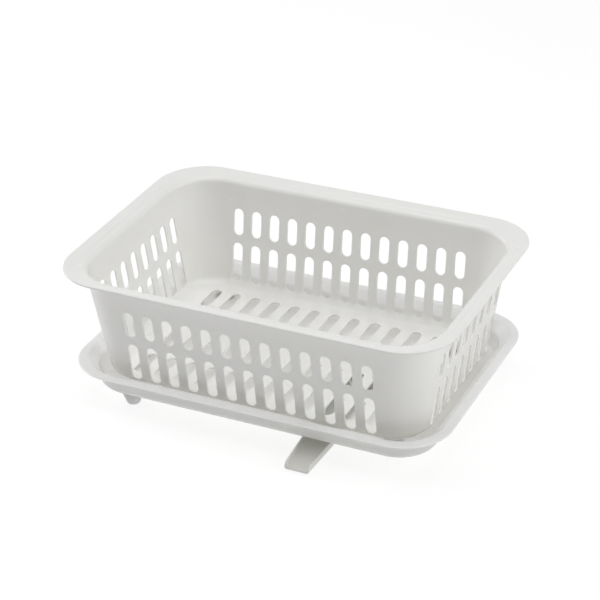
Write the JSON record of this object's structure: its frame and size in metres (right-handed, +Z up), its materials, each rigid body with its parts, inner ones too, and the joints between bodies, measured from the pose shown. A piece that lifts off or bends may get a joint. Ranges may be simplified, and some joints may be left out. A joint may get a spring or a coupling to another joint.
{
  "type": "cheese mold",
  "caption": "Slotted rectangular curd basket with a flared rim, standing in a footed drip tray that has a swinging drain spout.",
  "frame": {"origin": "middle of the basket's inside floor, on its top face", "axes": "+X along the long side, -Y towards the front where the spout points, +Z up"},
  "size_m": [0.3916, 0.285, 0.1425],
  "materials": {
    "basket_plastic": "satin white polypropylene, slightly translucent",
    "tray_plastic": "satin white polypropylene, slightly translucent",
    "spout_plastic": "satin white polypropylene, slightly translucent",
    "foot_rubber": "dull pale grey elastomer"
  },
  "bodies": {
    "tray_body": {"drip_tray": "tray_plastic", "foot_front_left": "foot_rubber", "foot_back_left": "foot_rubber", "foot_front_right": "foot_rubber", "foot_back_right": "foot_rubber"},
    "basket_body": {"basket": "basket_plastic"},
    "spout_body": {"drain_spout": "spout_plastic"}
  },
  "joints": [
    {"name": "basket_lift", "type": "slide", "parent": "tray_body", "child": "basket_body", "axis": [0, 0, 1], "range_m": [0, 0.12]},
    {"name": "spout_swing", "type": "hinge", "parent": "tray_body", "child": "spout_body", "pos_m": [0.0645, 0, -0.0145], "axis": [0, 0, 1], "range_deg": [-200, 20]}
  ]
}
